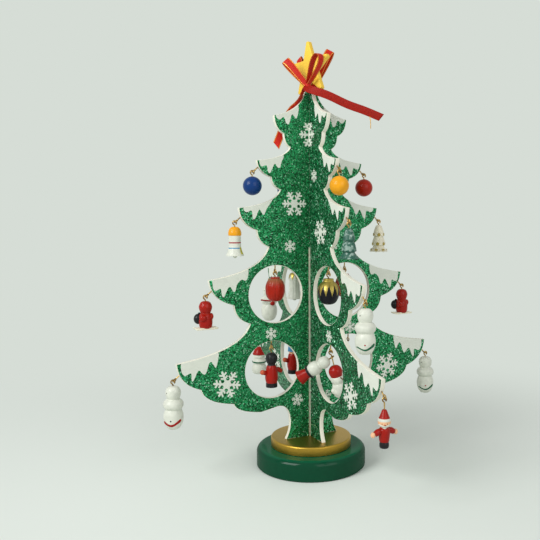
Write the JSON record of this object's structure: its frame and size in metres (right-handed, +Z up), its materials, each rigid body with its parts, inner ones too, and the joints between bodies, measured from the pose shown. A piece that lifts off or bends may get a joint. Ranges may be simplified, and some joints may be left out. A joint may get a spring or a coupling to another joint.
{
  "type": "wooden tabletop christmas tree",
  "caption": "Flat-pack wooden tabletop christmas tree: cross-lapped cut panels on a round base, with a star, a ribbon bow and small turned ornaments that swing from screw eyes.",
  "frame": {"origin": "on the tree's vertical axis, on the plane that the base disc stands on", "axes": "+Z up along the trunk; panel A lies in the XZ plane, panel B in the YZ plane; the picture looks along about (0.47, 0.88, -0.08)"},
  "size_m": [0.2182, 0.2127, 0.3053],
  "materials": {
    "ball_east": "gloss paint on turned wood",
    "ball_north": "gloss paint on turned wood",
    "ball_south": "gloss paint on turned wood",
    "ball_west": "gloss paint on turned wood",
    "base_disc": "dark green gloss lacquer",
    "bell": "gloss paint on turned wood",
    "capped": "gloss paint on turned wood",
    "caught_ornament": "gloss paint on turned wood",
    "screw_eye": "bright brass, partly darkened",
    "fir_east": "gloss paint on turned wood",
    "fir_south": "gloss paint on turned wood",
    "gold_plate": "dull metallic gold paint",
    "guard_north": "gloss paint on turned wood",
    "guard_west": "gloss paint on turned wood",
    "hatted": "gloss paint on turned wood",
    "oval": "gloss paint on turned wood",
    "panel_a": "green glitter with matt white snow and cream cut edges",
    "panel_b": "green glitter with matt white snow and cream cut edges",
    "ribbon_bow": "red satin with thin gold edge lines",
    "santa": "gloss paint on turned wood",
    "skier": "gloss paint on turned wood",
    "snowman": "gloss paint on turned wood",
    "star": "satin yellow paint with gold glitter",
    "star_pin": "plain"
  },
  "bodies": {
    "tree": {"base_disc": "base_disc", "eye_east_lower_hole": "screw_eye", "eye_east_tier2": "screw_eye", "eye_east_tier3": "screw_eye", "eye_east_tier4": "screw_eye", "eye_east_tier5": "screw_eye", "eye_east_upper_hole": "screw_eye", "eye_north_lower_hole": "screw_eye", "eye_north_tier2": "screw_eye", "eye_north_tier3": "screw_eye", "eye_north_tier4": "screw_eye", "eye_north_tier5": "screw_eye", "eye_north_upper_hole": "screw_eye", "eye_south_lower_hole": "screw_eye", "eye_south_tier2": "screw_eye", "eye_south_tier3": "screw_eye", "eye_south_tier4": "screw_eye", "eye_south_tier5": "screw_eye", "eye_south_upper_hole": "screw_eye", "eye_west_lower_hole": "screw_eye", "eye_west_tier2": "screw_eye", "eye_west_tier3": "screw_eye", "eye_west_tier4": "screw_eye", "eye_west_tier5": "screw_eye", "eye_west_upper_hole": "screw_eye", "gold_plate": "gold_plate", "panel_a": "panel_a", "panel_b": "panel_b", "ribbon_bow": "ribbon_bow", "star": "star", "star_pin": "star_pin"},
    "east_tier2_ornament": {"ball_east_tier2": "ball_east"},
    "north_tier2_ornament": {"ball_north_tier2": "ball_north"},
    "south_tier2_ornament": {"ball_south_tier2": "ball_south"},
    "west_tier2_ornament": {"ball_west_tier2": "ball_west"},
    "north_tier3_ornament": {"bell_north_tier3": "bell"},
    "north_upper_hole_ornament": {"bell_north_upper_hole": "bell"},
    "west_tier3_ornament": {"bell_west_tier3": "bell"},
    "south_upper_hole_ornament": {"capped_south_upper_hole": "capped"},
    "east_tier3_ornament": {"fir_east_tier3": "fir_east"},
    "south_tier3_ornament": {"fir_south_tier3": "fir_south"},
    "north_lower_hole_ornament": {"guard_north_lower_hole": "guard_north"},
    "west_lower_hole_ornament": {"guard_west_lower_hole": "guard_west"},
    "south_lower_hole_ornament": {"hatted_low_south_lower_hole": "hatted", "caught_ornament": "caught_ornament"},
    "north_tier5_ornament": {"hatted_north_tier5": "hatted"},
    "east_upper_hole_ornament": {"oval_east_upper_hole": "oval"},
    "west_upper_hole_ornament": {"oval_west_upper_hole": "oval"},
    "south_tier5_ornament": {"santa_south_tier5": "santa"},
    "east_tier4_ornament": {"skier_east_tier4": "skier"},
    "west_tier4_ornament": {"skier_west_tier4": "skier"},
    "east_tier5_ornament": {"snowman_east_tier5": "snowman"},
    "north_tier4_ornament": {"snowman_north_tier4": "snowman"},
    "south_tier4_ornament": {"snowman_south_tier4": "snowman"},
    "west_tier5_ornament": {"snowman_west_tier5": "snowman"}
  },
  "joints": [
    {"name": "east_tier2_swing", "type": "hinge", "parent": "tree", "child": "east_tier2_ornament", "pos_m": [0.04452, 0, 0.21257], "axis": [0, 1, 0], "range_deg": [-60, 25]},
    {"name": "north_tier2_swing", "type": "hinge", "parent": "tree", "child": "north_tier2_ornament", "pos_m": [0, 0.04349, 0.21209], "axis": [0, 1, 0], "range_deg": [-45, 45]},
    {"name": "south_tier2_swing", "type": "hinge", "parent": "tree", "child": "south_tier2_ornament", "pos_m": [0, -0.04349, 0.21209], "axis": [0, 1, 0], "range_deg": [-45, 45]},
    {"name": "west_tier2_swing", "type": "hinge", "parent": "tree", "child": "west_tier2_ornament", "pos_m": [-0.04452, 0, 0.21257], "axis": [0, 1, 0], "range_deg": [-25, 60]},
    {"name": "north_tier3_swing", "type": "hinge", "parent": "tree", "child": "north_tier3_ornament", "pos_m": [0, 0.05666, 0.17771], "axis": [0, 1, 0], "range_deg": [-45, 45]},
    {"name": "north_upper_hole_swing", "type": "hinge", "parent": "tree", "child": "north_upper_hole_ornament", "pos_m": [0, 0.028, 0.14236], "axis": [0, 1, 0], "range_deg": [-45, 45]},
    {"name": "west_tier3_swing", "type": "hinge", "parent": "tree", "child": "west_tier3_ornament", "pos_m": [-0.0577, 0, 0.17819], "axis": [0, 1, 0], "range_deg": [-25, 60]},
    {"name": "south_upper_hole_swing", "type": "hinge", "parent": "tree", "child": "south_upper_hole_ornament", "pos_m": [0, -0.028, 0.14236], "axis": [0, 1, 0], "range_deg": [-45, 45]},
    {"name": "east_tier3_swing", "type": "hinge", "parent": "tree", "child": "east_tier3_ornament", "pos_m": [0.0577, 0, 0.17819], "axis": [0, 1, 0], "range_deg": [-60, 25]},
    {"name": "south_tier3_swing", "type": "hinge", "parent": "tree", "child": "south_tier3_ornament", "pos_m": [0, -0.05666, 0.17771], "axis": [0, 1, 0], "range_deg": [-45, 45]},
    {"name": "north_lower_hole_swing", "type": "hinge", "parent": "tree", "child": "north_lower_hole_ornament", "pos_m": [0, 0.0312, 0.08864], "axis": [0, 1, 0], "range_deg": [-45, 45]},
    {"name": "west_lower_hole_swing", "type": "hinge", "parent": "tree", "child": "west_lower_hole_ornament", "pos_m": [-0.0312, 0, 0.08864], "axis": [0, 1, 0], "range_deg": [-25, 25]},
    {"name": "south_lower_hole_swing", "type": "hinge", "parent": "tree", "child": "south_lower_hole_ornament", "pos_m": [0, -0.0312, 0.08864], "axis": [0, 1, 0], "range_deg": [-25, 30]},
    {"name": "north_tier5_swing", "type": "hinge", "parent": "tree", "child": "north_tier5_ornament", "pos_m": [0, 0.10124, 0.07224], "axis": [0, 1, 0], "range_deg": [-45, 45]},
    {"name": "east_upper_hole_swing", "type": "hinge", "parent": "tree", "child": "east_upper_hole_ornament", "pos_m": [0.028, 0, 0.14236], "axis": [0, 1, 0], "range_deg": [-35, 35]},
    {"name": "west_upper_hole_swing", "type": "hinge", "parent": "tree", "child": "west_upper_hole_ornament", "pos_m": [-0.028, 0, 0.14236], "axis": [0, 1, 0], "range_deg": [-35, 35]},
    {"name": "south_tier5_swing", "type": "hinge", "parent": "tree", "child": "south_tier5_ornament", "pos_m": [0, -0.10124, 0.07224], "axis": [0, 1, 0], "range_deg": [-45, 45]},
    {"name": "east_tier4_swing", "type": "hinge", "parent": "tree", "child": "east_tier4_ornament", "pos_m": [0.07913, 0, 0.12823], "axis": [0, 1, 0], "range_deg": [-60, 25]},
    {"name": "west_tier4_swing", "type": "hinge", "parent": "tree", "child": "west_tier4_ornament", "pos_m": [-0.07913, 0, 0.12823], "axis": [0, 1, 0], "range_deg": [-25, 60]},
    {"name": "east_tier5_swing", "type": "hinge", "parent": "tree", "child": "east_tier5_ornament", "pos_m": [0.10228, 0, 0.07272], "axis": [0, 1, 0], "range_deg": [-60, 25]},
    {"name": "north_tier4_swing", "type": "hinge", "parent": "tree", "child": "north_tier4_ornament", "pos_m": [0, 0.0781, 0.12774], "axis": [0, 1, 0], "range_deg": [-45, 45]},
    {"name": "south_tier4_swing", "type": "hinge", "parent": "tree", "child": "south_tier4_ornament", "pos_m": [0, -0.0781, 0.12774], "axis": [0, 1, 0], "range_deg": [-45, 45]},
    {"name": "west_tier5_swing", "type": "hinge", "parent": "tree", "child": "west_tier5_ornament", "pos_m": [-0.10228, 0, 0.07272], "axis": [0, 1, 0], "range_deg": [-25, 60]}
  ]
}
